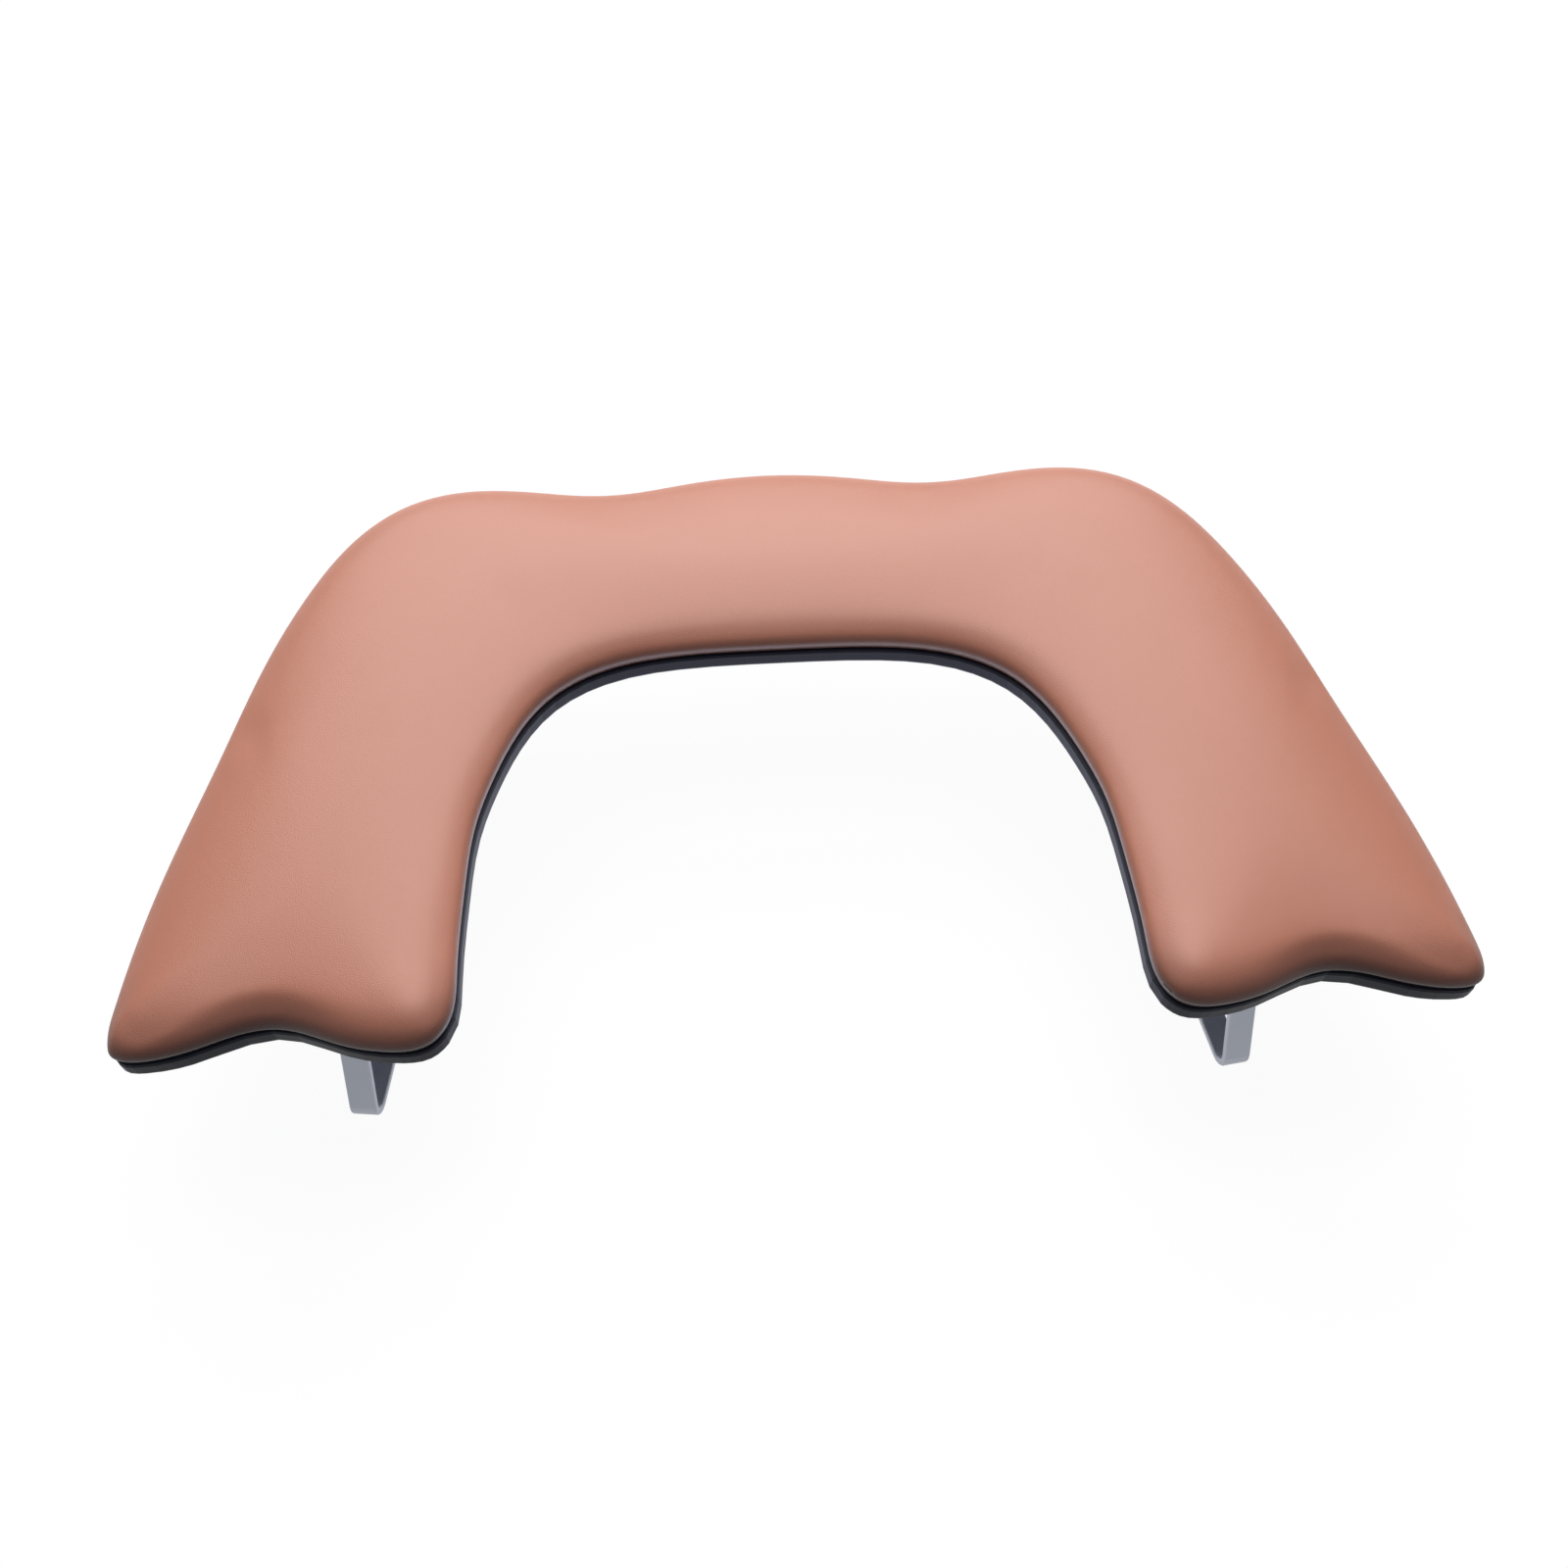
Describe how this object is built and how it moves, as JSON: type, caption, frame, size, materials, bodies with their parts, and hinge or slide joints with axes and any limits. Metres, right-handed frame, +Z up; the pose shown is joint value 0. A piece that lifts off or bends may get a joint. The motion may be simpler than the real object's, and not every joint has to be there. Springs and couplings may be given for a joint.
{
  "type": "manicure hand rest",
  "caption": "U-shaped padded arm rest for manicures: a crowned leatherette cushion on a dark board, raised on bent flat-strip leg brackets with rubber feet.",
  "frame": {"origin": "on the table, below the middle of the outline", "axes": "+X across the rest to the right arm, +Y from the open front to the back, +Z up"},
  "size_m": [0.5032, 0.2929, 0.0999],
  "materials": {
    "leatherette": "smooth satin dusty pink, very fine grain",
    "foam": "open-cell foam",
    "plywood": "raw thin plywood",
    "dark_lacquer": "dark blue-grey lacquer, semi-gloss",
    "silver_steel": "silver-grey powder coat, satin",
    "zinc_steel": "bright zinc plate",
    "black_rubber": "matte"
  },
  "bodies": {
    "root": {"leather_cover": "leatherette", "foam_core": "foam", "cushion_panel": "plywood", "base_board": "dark_lacquer", "left_leg_bracket": "silver_steel", "right_leg_bracket": "silver_steel", "left_front_foot_pad": "black_rubber", "left_rear_foot_pad": "black_rubber", "right_front_foot_pad": "black_rubber", "right_rear_foot_pad": "black_rubber", "left_bracket_screw_1": "zinc_steel", "left_bracket_screw_2": "zinc_steel", "left_bracket_screw_3": "zinc_steel", "left_bracket_screw_4": "zinc_steel", "right_bracket_screw_1": "zinc_steel", "right_bracket_screw_2": "zinc_steel", "right_bracket_screw_3": "zinc_steel", "right_bracket_screw_4": "zinc_steel", "back_screw_left": "zinc_steel", "back_screw_middle": "zinc_steel", "back_screw_right": "zinc_steel"}
  },
  "joints": []
}
